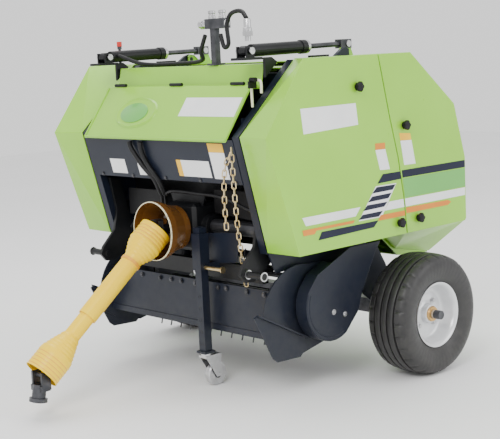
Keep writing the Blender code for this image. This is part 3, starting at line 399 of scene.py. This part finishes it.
BARS = [[(-0.147, 0.6865), (-0.0585, 0.6865), (-0.0555, 0.6615), (-0.175, 0.6585)],
        [(-0.180, 0.6475), (-0.084, 0.6465), (-0.101, 0.6305), (-0.203, 0.6295)],
        [(-0.204, 0.6195), (-0.106, 0.6210), (-0.124, 0.6050), (-0.225, 0.6035)],
        [(-0.229, 0.5945), (-0.128, 0.5940), (-0.146, 0.5800), (-0.249, 0.5785)],
        [(-0.253, 0.5665), (-0.153, 0.5670), (-0.174, 0.5510), (-0.272, 0.5525)]]
for side, s in SIDES:
    f, r = f"side_cover_{side}", f"rear_cover_{side}"
    film(f"white_front_{side}", [
        [(-0.530, 0.5930), (-0.262, 0.5930), (-0.286, 0.5660), (-0.515, 0.5660)],
        [(-0.120, 0.5930), (-0.0465, 0.5930), (-0.0425, 0.5660), (-0.144, 0.5660)],
        [(-0.184, 0.6510), (-0.080, 0.6500), (-0.158, 0.5480), (-0.272, 0.5480)]], WHITE, f, s)
    film(f"navy_front_{side}", BARS + [[(-0.446, 0.5385), (-0.177, 0.5385), (-0.200, 0.5190), (-0.462, 0.5145)]], NAVY, f, s, 1)
    film(f"orange_front_{side}", [[(-0.532, 0.5545), (-0.292, 0.5545), (-0.298, 0.5460), (-0.470, 0.5460), (-0.478, 0.5365), (-0.527, 0.5365)],
                                  [(-0.165, 0.5540), (-0.0410, 0.5540), (-0.0390, 0.5370), (-0.178, 0.5370)]], ORANGE, f, s, 1)
    film(f"band_rear_{side}", [[(-0.0465, 0.6610), (0.2950, 0.6610), (0.2950, 0.5960), (-0.0375, 0.5960)]], GREEN_B, r, s)
    film(f"navy_rear_{side}", [[(-0.0500, 0.6890), (0.2950, 0.6890), (0.2950, 0.6640), (-0.0475, 0.6640)]], NAVY, r, s)
    film(f"white_rear_{side}", [[(-0.0380, 0.5930), (0.2930, 0.5930), (0.2930, 0.5660), (-0.0345, 0.5660)]], WHITE, r, s)
    film(f"orange_rear_{side}", [[(-0.0335, 0.5630), (0.1940, 0.5600), (0.2120, 0.5520), (0.1940, 0.5430), (-0.0320, 0.5430)]], ORANGE, r, s)
    film(f"label_plate_{side}", [[(-0.519, 0.924), (-0.268, 0.925), (-0.259, 0.856), (-0.509, 0.846)]], WHITE, f, s)
    film(f"small_labels_{side}", [[(-0.180, 0.768), (-0.131, 0.767), (-0.111, 0.699), (-0.160, 0.701)]], WHITE, f, s)
    film(f"small_label_heads_{side}", [[(-0.1805, 0.789), (-0.1315, 0.788), (-0.131, 0.7675), (-0.180, 0.7685)]], ORANGE, f, s)
    film(f"small_labels_rear_{side}", [[(-0.053, 0.787), (0.004, 0.785), (0.023, 0.704), (-0.037, 0.705)]], WHITE, r, s)
    film(f"small_label_heads_rear_{side}", [[(-0.058, 0.813), (-0.001, 0.808), (0.004, 0.7855), (-0.053, 0.7875)]], LABEL_Y, r, s)
    # lobed knobs that hold the covers
    for body_name, spots in ((f, [(-0.260, 0.976), (-0.072, 0.517)]), (r, [(-0.034, 0.837), (0.028, 0.521)])):
        bm = bmesh.new()
        for y, z in spots:
            prof = []
            seg = 40
            for h, k in ((0.0, 0.62), (0.006, 0.62), (0.008, 0.98), (0.017, 1.0), (0.020, 0.86), (0.021, 0.30)):
                prof.append((h, k))
            rings = []
            for h, k in prof:
                ring = []
                for j in range(seg):
                    a = 2 * math.pi * j / seg
                    rr = 0.0155 * k * (1.0 + (0.10 * math.cos(5 * a) if k > 0.7 else 0.0))
                    ring.append(bm.verts.new(W((s * (XF + h), y + rr * math.cos(a), z + rr * math.sin(a)))))
                rings.append(ring)
            for a, b in zip(rings[:-1], rings[1:]):
                for j in range(seg):
                    i = (j + 1) % seg
                    bm.faces.new((a[j], a[i], b[i], b[j]))
            bm.faces.new(rings[0][::-1])
            bm.faces.new(rings[-1])
        piece(f"knobs_{body_name}", bm, BLACK_P, body_name)

# ------------------------------------------------------------------ lid: embossed disc, blank plate, fold
LU = Vector((0, 0.123, 0.166)).normalized()
LN = Vector((0, -0.166, 0.123)).normalized()


def on_lid(x, z, out=0.0):
    y = -0.668 + (z - 0.832) * 0.123 / 0.166
    return Vector((x, y, z)) + LN * out


bm = bmesh.new()
lathe(bm, [(0.001, 0.0), (0.093, 0.0), (0.090, 0.0030), (0.084, 0.0052), (0.079, 0.0030), (0.074, 0.0022), (0.030, 0.0030), (0.001, 0.0032)],
      on_lid(-0.140, 0.914, -0.0003), LN, 72, closed=False)


def flatten(bm, at, wide, tall):
    """Stretch a round pressing on the lid across it and flatten it up the lid."""
    up = Vector((0, 0.123, 0.166)).normalized()
    basis = Matrix((Vector((1, 0, 0)), up, Vector((1, 0, 0)).cross(up))).transposed().to_4x4()
    m = Matrix.Translation(W(at)) @ basis @ Matrix.Diagonal((wide, tall, 1.0, 1.0)) @ basis.inverted() @ Matrix.Translation(-W(at))
    bmesh.ops.transform(bm, matrix=m, verts=bm.verts[:])


flatten(bm, on_lid(-0.140, 0.914), 1.16, 0.66)
piece("lid_embossed_disc", bm, GREEN, "twine_lid", angle=50)
bm = bmesh.new()
lathe(bm, [(0.001, 0.0), (0.062, 0.0), (0.062, 0.0044), (0.060, 0.0052), (0.001, 0.0056)], on_lid(-0.148, 0.913, -0.0003), LN, 64, closed=False)
flatten(bm, on_lid(-0.148, 0.913), 1.12, 0.62)
piece("lid_disc_cap", bm, GREEN_B, "twine_lid", angle=50)


def lid_plate(name, x0, x1, z0, z1, mat, out=0.0003):
    bm = bmesh.new()
    rows = []
    for o in (out, out + 0.0005):
        rows.append([bm.verts.new(W(on_lid(x, z, o))) for x, z in ((x0, z0), (x1, z0), (x1, z1), (x0, z1))])
    bm.faces.new(rows[0])
    bm.faces.new(rows[1])
    for i in range(4):
        bm.faces.new((rows[0][i], rows[0][(i + 1) % 4], rows[1][(i + 1) % 4], rows[1][i]))
    piece(name, bm, mat, "twine_lid", smooth=False)


lid_plate("lid_label_plate", 0.085, 0.352, 0.905, 0.962, WHITE)
bm = bmesh.new()
for x in (-0.362, 0.362):
    a, b = on_lid(x, 0.836, 0.001), on_lid(x, 0.994, 0.001)
    rod(bm, a, b, 0.0035, 12)
rod(bm, on_lid(-0.362, 0.836, 0.001), on_lid(0.362, 0.836, 0.001), 0.0035, 12)
piece("lid_rolled_edge", bm, GREEN, "twine_lid")
bm = bmesh.new()
for x in (-0.300, 0.0, 0.300):
    rod(bm, (x - 0.030, -0.5430, 1.0040), (x + 0.030, -0.5430, 1.0040), 0.0055, 14)
piece("lid_hinge_knuckles", bm, BLACK, "frame")

# ------------------------------------------------------------------ front panel: bolts, hoses, blank labels
FN = Vector((0, -0.969, -0.246)).normalized()


def on_panel(x, z, out=0.0):
    y = -0.608 + (z - 0.694) * (-0.036 / 0.142)
    return Vector((x, y, z)) + FN * (out + 0.0004)


def panel_plate(name, x0, x1, z0, z1, mat, out=0.0):
    bm = bmesh.new()
    rows = [[bm.verts.new(W(on_panel(x, z, o))) for x, z in ((x0, z0), (x1, z0), (x1, z1), (x0, z1))] for o in (out, out + 0.0005)]
    bm.faces.new(rows[0])
    bm.faces.new(rows[1])
    for i in range(4):
        bm.faces.new((rows[0][i], rows[0][(i + 1) % 4], rows[1][(i + 1) % 4], rows[1][i]))
    piece(name, bm, mat, "frame", smooth=False)


panel_plate("panel_label_a", -0.283, -0.200, 0.707, 0.757, WHITE)
panel_plate("panel_label_b", -0.133, -0.070, 0.705, 0.745, WHITE)
panel_plate("panel_label_c", 0.100, 0.237, 0.711, 0.765, WHITE)
panel_plate("panel_label_c_head", 0.077, 0.0995, 0.711, 0.765, LABEL_Y)
panel_plate("panel_label_d", 0.250, 0.321, 0.709, 0.795, WHITE)
panel_plate("panel_label_d_head", 0.250, 0.321, 0.7955, 0.824, LABEL_Y)
bm = bmesh.new()
tube(bm, [on_panel(-0.134, 0.824, 0.009), on_panel(-0.128, 0.800, 0.012), on_panel(-0.100, 0.750, 0.010), on_panel(-0.066, 0.715, 0.011), (-0.056, -0.612, 0.690), (-0.052, -0.590, 0.640)], 0.0085)
tube(bm, [on_panel(-0.075, 0.824, 0.009), on_panel(-0.078, 0.800, 0.012), on_panel(-0.070, 0.755, 0.010), on_panel(-0.046, 0.720, 0.011), (-0.036, -0.612, 0.690), (-0.032, -0.590, 0.640)], 0.0085)
piece("panel_hoses", bm, HOSE, "frame")
bm = bmesh.new()
for x in (-0.345, -0.175, 0.0, 0.175, 0.345):
    bolt(bm, on_panel(x, 0.700, 0.0), FN, 0.0050, 0.0040)
piece("panel_bolts", bm, DARK_STEEL, "frame")

# ------------------------------------------------------------------ tyres with ribs and cross cuts; rims
R, HW = 0.2035, 0.0815
OUTER = [(-0.064, 0.1105), (-0.0700, 0.1170), (-0.0750, 0.1300), (-0.0790, 0.1440), (-0.0812, 0.1580), (-0.0806, 0.1700), (-0.0788, 0.1790), (-0.0740, 0.1888)]
RIBS = [(-0.0650, -0.0440), (-0.0370, -0.0160), (-0.0100, 0.0100), (0.0160, 0.0370), (0.0440, 0.0650)]


def crown(x):
    return 0.1960 + (R - 0.1962) * max(0.0, 1 - (abs(x) / 0.066) ** 3.2)


def tyre(side, s):
    prof = list(OUTER)
    for i, (a, b) in enumerate(RIBS):
        if i:
            prof += [(a - 0.0012, crown(a) - 0.0070)]
        prof += [(a, crown(a) - 0.0006), (a + 0.0012, crown(a + 0.0012)), ((a + b) / 2, crown((a + b) / 2)), (b - 0.0012, crown(b - 0.0012)), (b, crown(b) - 0.0006)]
        if i < len(RIBS) - 1:
            prof += [(b + 0.0012, crown(b) - 0.0070)]
    prof += [(-x, r) for x, r in OUTER[::-1]]
    prof += [(0.0570, 0.1020), (-0.0570, 0.1020)]
    seg = 168
    bm = bmesh.new()
    c = W((s * 0.574, 0.0, 0.2035))
    rings = []
    for x, r in prof:
        ring = []
        for k in range(seg):
            a = 2 * math.pi * k / seg
            rr = r
            # cross cuts at the shoulders
            if 0.044 < abs(x) < 0.0655 and r > 0.19 and k % 6 in (0,):
                rr = r - 0.0045
            # moulded ridges low on the wall
            if 0.075 <= abs(x) and 0.150 < r < 0.165:
                rr = r
            xx = x - (0.0006 if x > 0 else -0.0006) * (1 if (abs(x) > 0.078 and k % 3 == 0) else 0)
            ring.append(bm.verts.new(c + Vector((s * xx, rr * math.cos(a), rr * math.sin(a)))))
        rings.append(ring)
    for a, b in list(zip(rings[:-1], rings[1:])) + [(rings[-1], rings[0])]:
        for k in range(seg):
            j = (k + 1) % seg
            bm.faces.new((a[k], a[j], b[j], b[k]))
    ob = piece(f"tyre_{side}", bm, RUBBER, f"wheel_{side}", angle=28)
    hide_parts(f"wheel_tyre_{side}")


for side, s in SIDES:
    tyre(side, s)
    at = (s * 0.574, 0.0, 0.2035)
    d = (s, 0, 0)
    bm = bmesh.new()
    # rim well, flange and pressed disc, all inside the CAD rim's room
    lathe(bm, [(0.1016, 0.0560), (0.1030, 0.0610), (0.1075, 0.0630), (0.1098, 0.0660), (0.1092, 0.0678), (0.1060, 0.0672), (0.1018, 0.0642), (0.0978, 0.0600),
               (0.0950, 0.0500), (0.0918, 0.0300), (0.0885, 0.0190), (0.0840, 0.0140), (0.0760, 0.0122), (0.0660, 0.0150), (0.0560, 0.0158), (0.0460, 0.0142),
               (0.0380, 0.0165), (0.0335, 0.0200), (0.0320, 0.0290), (0.0308, 0.0390), (0.0290, 0.0400), (0.0156, 0.0400),
               (0.0156, -0.0500), (0.0300, -0.0500), (0.0320, 0.0040), (0.0760, 0.0020), (0.0860, 0.0060), (0.0920, -0.0400),
               (0.1018, -0.0640), (0.1092, -0.0678), (0.1098, -0.0660), (0.1075, -0.0630), (0.1030, -0.0610), (0.1016, -0.0560)], at, d, 72)
    ob = piece(f"rim_{side}", bm, RIM, f"wheel_{side}", angle=40)
    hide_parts(f"wheel_rim_{side}")
    bm = bmesh.new()
    lathe(bm, [(0.0157, 0.0380), (0.0250, 0.0380), (0.0262, 0.0440), (0.0240, 0.0480), (0.0157, 0.0480)], at, d, 40)
    piece(f"hub_ring_{side}", bm, BRASS, f"wheel_{side}")
    bm = bmesh.new()
    lathe(bm, [(0.0152, 0.0490), (0.0152, 0.0560), (0.0120, 0.0600), (0.0060, 0.0625)], at, d, 32, closed=False)
    for k in range(4):
        a = math.radians(45 + 90 * k)
        bolt(bm, (s * (0.574 + 0.0155), 0.053 * math.cos(a), 0.2035 + 0.053 * math.sin(a)), d, 0.0072, 0.0085)
    piece(f"wheel_nuts_{side}", bm, STEEL, f"wheel_{side}")
    bm = bmesh.new()
    a = math.radians(128)
    vy, vz = 0.083 * math.cos(a), 0.2035 + 0.083 * math.sin(a)
    rod(bm, (s * (0.574 + 0.0120), vy, vz), (s * (0.574 + 0.0420), vy * 0.97, 0.2035 + (vz - 0.2035) * 0.97), 0.0042, 12)
    piece(f"valve_{side}", bm, BLACK_P, f"wheel_{side}")

# ------------------------------------------------------------------ driveline guards with ribs
UJ, UE = Vector((0.0, -0.665, 0.530)), Vector((-0.045, -1.120, 0.135))
AX = (UE - UJ).normalized()
L = (UE - UJ).length


def ribbed(name, outer, inner, body, node, ribs):
    bm = bmesh.new()
    prof = []
    for (r0, h0), (r1, h1) in zip(outer[:-1], outer[1:]):
        n = max(1, int(abs(h1 - h0) / 0.004))
        for k in range(n):
            t = k / n
            h = h0 + (h1 - h0) * t
            r = r0 + (r1 - r0) * t
            dip = 0.0
            for a, b, pitch, depth in ribs:
                if a <= h <= b:
                    dip = depth * (0.5 - 0.5 * math.cos(2 * math.pi * (h - a) / pitch))
            prof.append((r - 0.0003 - dip, h))
    prof.append(outer[-1])
    prof += inner[::-1]
    lathe(bm, prof, UJ, AX, 64)
    ob = piece(name, bm, YELLOW, body, angle=50)
    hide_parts(node)


ribbed("guard_rear", [(0.0570, 0.0), (0.0570, 0.0650), (0.0520, 0.0850), (0.0420, 0.1060), (0.0350, 0.1220), (0.0320, 0.1300), (0.0320, 0.3700)],
       [(0.0545, 0.0), (0.0545, 0.0620), (0.0492, 0.0780), (0.0392, 0.0950), (0.0292, 0.1100), (0.0292, 0.3700)], "driveline_rear", "driveline_guard_rear",
       [(0.0120, 0.0600, 0.0120, 0.0022), (0.0660, 0.1260, 0.0120, 0.0026)])
ribbed("guard_front", [(0.0270, 0.2300), (0.0270, 0.4480), (0.0320, 0.4560), (0.0420, 0.4800), (0.0560, 0.5200), (0.0590, 0.5400), (0.0590, L - 0.0020)],
       [(0.0232, 0.2300), (0.0232, 0.4540), (0.0292, 0.4620), (0.0392, 0.4850), (0.0535, 0.5230), (0.0562, 0.5420), (0.0562, L - 0.0020)], "driveline_front",
       "driveline_guard_front", [(0.4600, 0.5200, 0.0120, 0.0026), (0.5400, 0.6000, 0.0120, 0.0022)])
# Orange rings sitting in the troughs of the cone ribs: painted shade in the grooves, not a coloured part
for nm, body, hs, rr in (("rear", "driveline_rear", (0.0180, 0.0300, 0.0420, 0.0540), 0.0551), ("front", "driveline_front", (0.5460, 0.5580, 0.5700, 0.5820, 0.5940), 0.0571)):
    bm = bmesh.new()
    for h in hs:
        lathe(bm, [(rr - 0.0012, h - 0.0016), (rr + 0.0003, h - 0.0012), (rr + 0.0003, h + 0.0012), (rr - 0.0012, h + 0.0016)], UJ, AX, 64)
    piece(f"guard_groove_painted_shade_{nm}", bm, AMBER_AND_GROOVE_SHADE, body)
bm = bmesh.new()
lathe(bm, [(0.0322, 0.1340), (0.0345, 0.1340), (0.0345, 0.1440), (0.0322, 0.1440)], UJ, AX, 48)
piece("guard_band", bm, AMBER_AND_GROOVE_SHADE, "driveline_rear")

# bell: pale rim
bm = bmesh.new()
lathe(bm, [(0.0958, -0.0008), (0.0985, -0.0008), (0.0990, 0.0030), (0.0962, 0.0030)], (0, -0.6797, 0.530), (0, 1, 0), 72)
piece("bell_rim", bm, CREAM, "frame")
bm = bmesh.new()
for k in range(6):
    a = math.radians(30 + 60 * k)
    bolt(bm, (0.062 * math.cos(a), -0.5792, 0.530 + 0.062 * math.sin(a)), (0, -1, 0), 0.0042, 0.0035)
piece("bell_screws", bm, STEEL, "frame")

# universal joint forks
bm = bmesh.new()
for s in (1, -1):
    block(bm, (-0.0120, -0.6760, 0.530 + min(s * 0.0320, s * 0.0370)), (0.0120, -0.6400, 0.530 + max(s * 0.0320, s * 0.0370)))
block(bm, (-0.0120, -0.6440, 0.4935), (0.0120, -0.6402, 0.5665))
piece("gearbox_fork", bm, DARK_STEEL, "frame", bevel=0.0012)
bm = bmesh.new()
rod(bm, UJ + AX * 0.0400, UJ + AX * 0.1850, 0.0190, 20)
piece("inner_shaft", bm, DARK_STEEL, "driveline_rear")

# ------------------------------------------------------------------ chain: real links in place of the plain bar
path = [(0.388, -0.664, 0.815), (0.380, -0.655, 0.740), (0.352, -0.620, 0.560), (0.322, -0.572, 0.400), (0.312, -0.556, 0.352)]
pts = smooth_points(path, 12)


def chain(name, pts, pitch=0.0215):
    bm = bmesh.new()
    total, marks, acc, nxt, k = 0.0, [], 0.0, pitch * 0.5, 0
    for a, b in zip(pts[:-1], pts[1:]):
        d = (b - a).length
        while acc + d >= nxt:
            p = a + (b - a) * ((nxt - acc) / d)
            marks.append((p, (b - a).normalized()))
            nxt += pitch
        acc += d
    for k, (p, d) in enumerate(marks):
        n = Vector((0.62, -0.78, 0.0)) if k % 2 else Vector((0.78, 0.62, 0.0))
        link(bm, p, d, n)
    return piece(name, bm, ZINC, "frame")


ob = chain("lift_chain_links", pts)
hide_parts("lift_chain")
chain("lift_chain_tail", smooth_points([(0.386, -0.668, 0.800), (0.352, -0.664, 0.740), (0.330, -0.650, 0.640), (0.322, -0.640, 0.560)], 12))

# ------------------------------------------------------------------ pickup: bolts, ridges of the drive guard
bm = bmesh.new()
for x in (-0.360, -0.240, -0.140, -0.080, -0.027, 0.046, 0.162, 0.202, 0.300, 0.380):
    bolt(bm, (x, -0.5487, 0.338), (0, -1, 0), 0.0060, 0.0048)
piece("wind_guard_bolts", bm, DARK_STEEL, "pickup")
bm = bmesh.new()
for x in (0.4861, -0.4861):
    sgn = 1 if x > 0 else -1
    if sgn < 0:
        continue
    bolt(bm, (x, -0.341, 0.257), (sgn, 0, 0), 0.0065, 0.0050)
    bolt(bm, (x, -0.289, 0.241), (sgn, 0, 0), 0.0065, 0.0050)
piece("drive_guard_bolts", bm, STEEL, "pickup")
for k, rr in enumerate((0.119, 0.108)):
    bm = bmesh.new()
    ring = [(-0.345 + rr * math.cos(math.radians(a)), 0.285 + rr * math.sin(math.radians(a))) for a in range(156, 297, 4)]
    tube(bm, [(0.4852, y, z) for y, z in ring], 0.0022, 8, 1)
    piece(f"drive_guard_ridge_{k}", bm, SLATE, "pickup")

# ------------------------------------------------------------------ jack: pin, clip, wheel details
bm = bmesh.new()
rod(bm, (0.098, -0.583, 0.408), (0.226, -0.583, 0.408), 0.0070, 18)
rod(bm, (0.226, -0.583, 0.408), (0.232, -0.583, 0.408), 0.0110, 18)
piece("jack_pin", bm, ZINC, "frame")
bm = bmesh.new()
link(bm, (0.098, -0.583, 0.396), (0, 0, 1), (0, 1, 0), 0.036, 0.026, 0.0026)
piece("jack_clip", bm, STEEL, "frame")
bm = bmesh.new()
for z in (0.150, 0.190, 0.230, 0.270, 0.310):
    lathe(bm, [(0.0052, 0.0), (0.0060, 0.0), (0.0060, 0.0004), (0.0052, 0.0004)], (0.125, -0.5981, z), (0, -1, 0), 16)
piece("jack_holes", bm, BLACK, "jack")
bm = bmesh.new()
for s in (1, -1):
    lathe(bm, [(0.0050, 0.0), (0.0140, 0.0), (0.0150, 0.0012), (0.0050, 0.0016)], (0.125 + s * 0.0120, -0.545, 0.040), (s, 0, 0), 24)
piece("caster_hub", bm, DARK_STEEL, "caster_wheel")

# ------------------------------------------------------------------ recess: shield plates, hose run
bm = bmesh.new()
prism(bm, [(0.100, 0.512), (0.262, 0.524), (0.240, 0.424), (0.092, 0.408)], -0.5290, -0.5265, "y")
piece("recess_shield", bm, SLATE, "frame", bevel=0.0008)
bm = bmesh.new()
prism(bm, [(-0.330, 0.640), (-0.130, 0.640), (-0.120, 0.560), (-0.330, 0.545)], -0.5150, -0.5120, "y")
prism(bm, [(0.110, 0.655), (0.330, 0.655), (0.330, 0.560), (0.110, 0.575)], -0.4990, -0.4960, "y")
piece("recess_plates", bm, BLACK_P, "frame", bevel=0.0008)
bm = bmesh.new()
tube(bm, [(-0.050, -0.590, 0.640), (-0.090, -0.560, 0.600), (-0.150, -0.535, 0.580), (-0.240, -0.530, 0.560), (-0.320, -0.520, 0.500)], 0.0055)
tube(bm, [(-0.034, -0.590, 0.640), (0.020, -0.600, 0.655), (0.120, -0.580, 0.650), (0.220, -0.560, 0.640), (0.320, -0.530, 0.600)], 0.0055)
piece("recess_hoses", bm, HOSE, "frame")

# ------------------------------------------------------------------ top: couplers, hose, handle, cylinder pins
bm = bmesh.new()
rod(bm, (0.066, -0.480, 1.196), (0.196, -0.480, 1.196), 0.0125, 24)
for x in (0.070, 0.104, 0.160):
    lathe(bm, [(0.0155, 0.0), (0.0155, 0.016)], (x, -0.480, 1.196), (1, 0, 0), 6, closed=False)
for x in (0.125, 0.175):
    lathe(bm, [(0.0122, 0.0), (0.0122, 0.010), (0.0105, 0.012), (0.0105, 0.018), (0.0125, 0.020), (0.0125, 0.027)], (x, -0.480, 1.210), (0, 0, 1), 28, closed=False)
piece("coupler_fittings", bm, STEEL, "frame")
bm = bmesh.new()
tube(bm, [(0.185, -0.500, 1.160), (0.205, -0.505, 1.120), (0.226, -0.505, 1.130), (0.222, -0.505, 1.185), (0.238, -0.505, 1.218), (0.268, -0.507, 1.229), (0.303, -0.512, 1.226), (0.330, -0.520, 1.205)], 0.0070, 14)
tube(bm, [(0.110, -0.500, 1.160), (0.080, -0.495, 1.110), (0.060, -0.475, 1.080), (-0.060, -0.455, 1.072), (-0.250, -0.470, 1.074), (-0.335, -0.520, 1.108)], 0.0070, 14)
piece("hydraulic_hoses", bm, HOSE, "frame")
bm = bmesh.new()
lathe(bm, [(0.0095, 0.0), (0.0095, 0.020), (0.0140, 0.022), (0.0140, 0.040), (0.0115, 0.043), (0.0115, 0.066), (0.0090, 0.070)], (0.337, -0.524, 1.134), (0, 0, 1), 28, closed=False)
lathe(bm, [(0.0165, 0.0), (0.0165, 0.014)], (0.337, -0.524, 1.150), (0, 0, 1), 6, closed=False)
piece("hose_coupler", bm, STEEL, "frame")
bm = bmesh.new()
tube(bm, [(0.388, -0.566, 0.932), (0.387, -0.566, 0.970), (0.388, -0.566, 1.002), (0.396, -0.566, 1.012), (0.420, -0.566, 1.014), (0.430, -0.566, 1.006), (0.430, -0.566, 0.975)], 0.0042, 12)
piece("handle_rod", bm, CREAM, "frame")
bm = bmesh.new()
rod(bm, (0.396, -0.578, 1.016), (0.420, -0.578, 1.016), 0.0075, 16)
block(bm, (0.396, -0.590, 0.990), (0.404, -0.560, 1.012))
piece("handle_pivot", bm, BLACK_P, "frame")
for side, s in SIDES:
    bm = bmesh.new()
    for (y, z) in ((-0.560, 1.104),):
        rod(bm, (s * 0.3890, y, z), (s * 0.3935, y, z), 0.0105, 20)
        rod(bm, (s * 0.3265, y, z), (s * 0.3310, y, z), 0.0105, 20)
    piece(f"cylinder_pin_{side}", bm, STEEL, "frame")
    bm = bmesh.new()
    rod(bm, (s * 0.3460, -0.100, 1.112), (s * 0.3740, -0.100, 1.112), 0.0072, 18)
    for x in (0.3445, 0.3755):
        rod(bm, (s * (x - 0.0015), -0.100, 1.112), (s * (x + 0.0015), -0.100, 1.112), 0.0110, 18)
    piece(f"rod_eye_pin_{side}", bm, STEEL, f"cylinder_rod_{side}")
    bm = bmesh.new()
    lathe(bm, [(0.0088, 0.0), (0.0222, 0.0), (0.0222, 0.010), (0.0205, 0.012), (0.0088, 0.012)], Vector((s * 0.36, -0.560, 1.104)) + Vector((0, 0.99985, 0.0174)) * 0.2622, (0, 0.99985, 0.0174), 32)
    piece(f"gland_{side}", bm, STEEL, f"cylinder_barrel_{side}")
    # strip and block behind the cylinder
    bm = bmesh.new()
    block(bm, (s * 0.3760, -0.300, 1.0705), (s * 0.3980, -0.222, 1.0800))
    piece(f"side_rail_{side}", bm, BLACK, "frame", bevel=0.001)
bm = bmesh.new()
rod(bm, (-0.391, -0.470, 1.1400), (-0.391, -0.470, 1.1570), 0.0092, 16)
piece("gauge_tip", bm, RED, "frame")

# ------------------------------------------------------------------ hitch pins' rings; frame bolts
for side, s in SIDES:
    bm = bmesh.new()
    for x in (0.374, 0.444):
        lathe(bm, [(0.0112, 0.0), (0.0150, 0.0), (0.0150, 0.0022), (0.0112, 0.0022)], (s * x, -0.605, 0.412), (s, 0, 0), 28)
    bolt(bm, (s * 0.3683, -0.550, 0.650), (s, 0, 0), 0.0085, 0.006)
    bolt(bm, (s * 0.3683, -0.515, 0.540), (s, 0, 0), 0.0085, 0.006)
    piece(f"hitch_fasteners_{side}", bm, STEEL, "frame")

# ------------------------------------------------------------------ tailgate: rear bolts
bm = bmesh.new()
for z in (0.520, 0.620, 0.680):
    for x in (-0.380, 0.380):
        bolt(bm, (x, 0.2972, z), (0, 1, 0), 0.0060, 0.0048)
for x in (-0.330, -0.110, 0.110, 0.330):
    bolt(bm, (x, 0.3122, 0.575), (0, 1, 0), 0.0060, 0.0048)
piece("tailgate_bolts", bm, STEEL, "tailgate")

# ------------------------------------------------------------------ floor, lights, camera
me = bpy.data.meshes.new("floor")
bm = bmesh.new()
bmesh.ops.create_grid(bm, x_segments=1, y_segments=1, size=9.0)
bmesh.ops.translate(bm, verts=bm.verts[:], vec=(0, 0, -0.0005))
bm.to_mesh(me)
bm.free()
floor = bpy.data.objects.new("floor", me)
me.materials.append(FLOOR)
bpy.context.scene.collection.objects.link(floor)

world = bpy.data.worlds.new("studio")
bpy.context.scene.world = world
world.use_nodes = True
bg = world.node_tree.nodes["Background"]
bg.inputs["Color"].default_value = (1.0, 1.0, 1.0, 1.0)
bg.inputs["Strength"].default_value = 1.20


def area(name, at, to, size, power):
    li = bpy.data.lights.new(name, "AREA")
    li.shape = "DISK"
    li.size = size
    li.energy = power
    ob = bpy.data.objects.new(name, li)
    ob.location = at
    ob.rotation_euler = (Vector(to) - Vector(at)).to_track_quat("-Z", "Y").to_euler()
    bpy.context.scene.collection.objects.link(ob)


area("key", (2.2, -3.6, 3.4), (0, 0, 0.5), 2.2, 125)
area("fill", (4.0, 1.6, 2.2), (0, 0, 0.6), 3.0, 60)
area("top", (-1.0, 0.4, 4.2), (0, 0, 0.6), 3.0, 90)

yaw, pitch, roll = (math.radians(a) for a in (46.88641, 8.23376, -2.76728))
F = Vector((-math.sin(yaw) * math.cos(pitch), math.cos(yaw) * math.cos(pitch), -math.sin(pitch)))
R0 = Vector((math.cos(yaw), math.sin(yaw), 0.0))
U0 = R0.cross(F)
RV = R0 * math.cos(roll) + U0 * math.sin(roll)
UV = U0 * math.cos(roll) - R0 * math.sin(roll)
cam = bpy.data.cameras.new("camera")
cam.lens = 85.184
cam.sensor_width = 36.0
cam.sensor_fit = "HORIZONTAL"
co = bpy.data.objects.new("camera", cam)
m = Matrix((RV, UV, -F)).transposed().to_4x4()
co.matrix_world = Matrix.Translation(W((3.03732, -3.08046, 1.11212))) @ m
bpy.context.scene.collection.objects.link(co)
bpy.context.scene.camera = co
